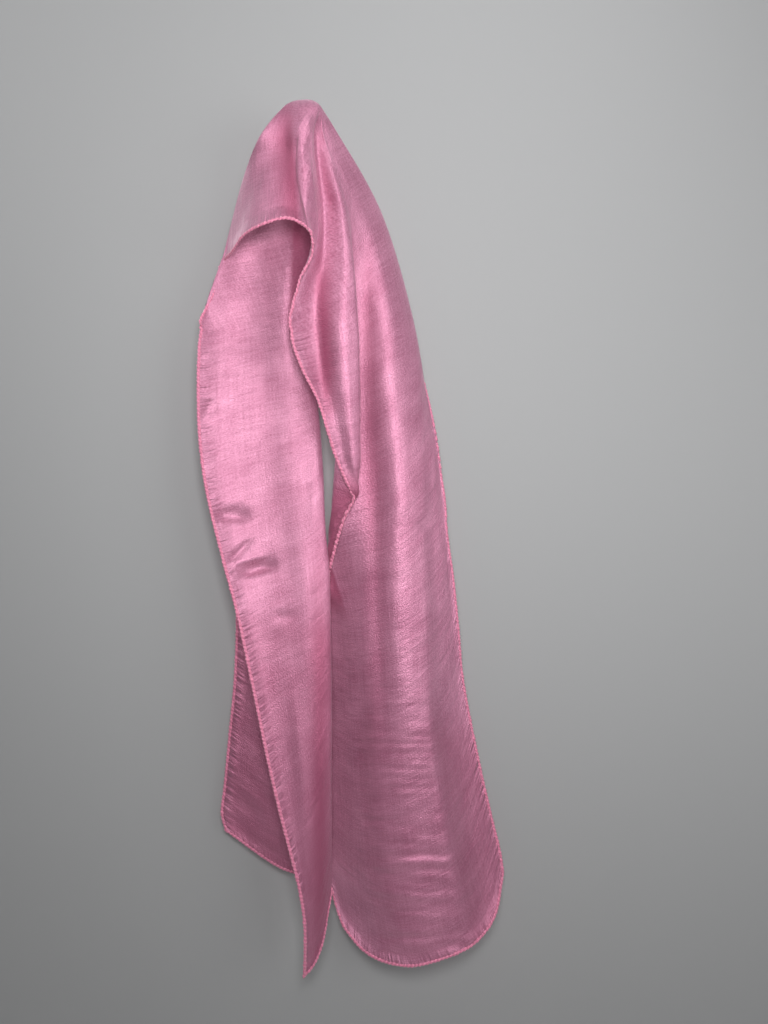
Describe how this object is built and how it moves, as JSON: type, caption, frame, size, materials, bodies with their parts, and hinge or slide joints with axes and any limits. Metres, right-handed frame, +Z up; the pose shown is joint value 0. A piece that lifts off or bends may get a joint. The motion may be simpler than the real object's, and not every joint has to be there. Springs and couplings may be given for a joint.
{
  "type": "silk scarf on a wall peg",
  "caption": "Narrow pink silk scarf with an overlocked edge, hung by its middle over a small wall peg, falling as a pointed hood and long folded tails.",
  "frame": {"origin": "the middle of the back of the peg's plate, on the wall, which is where the whole part is held", "axes": "+Z is up along the wall, +X is to the right seen from the front, +Y points into the wall, and the front of the scarf faces -Y"},
  "size_m": [0.1898, 0.0635, 0.5302],
  "materials": {
    "silk": "plain-weave silk, soft sheen",
    "peg": "satin white"
  },
  "bodies": {
    "root": {"scarf_hood": "silk", "scarf_left_tail": "silk", "scarf_right_tail": "silk", "wall_peg": "peg"}
  },
  "joints": []
}
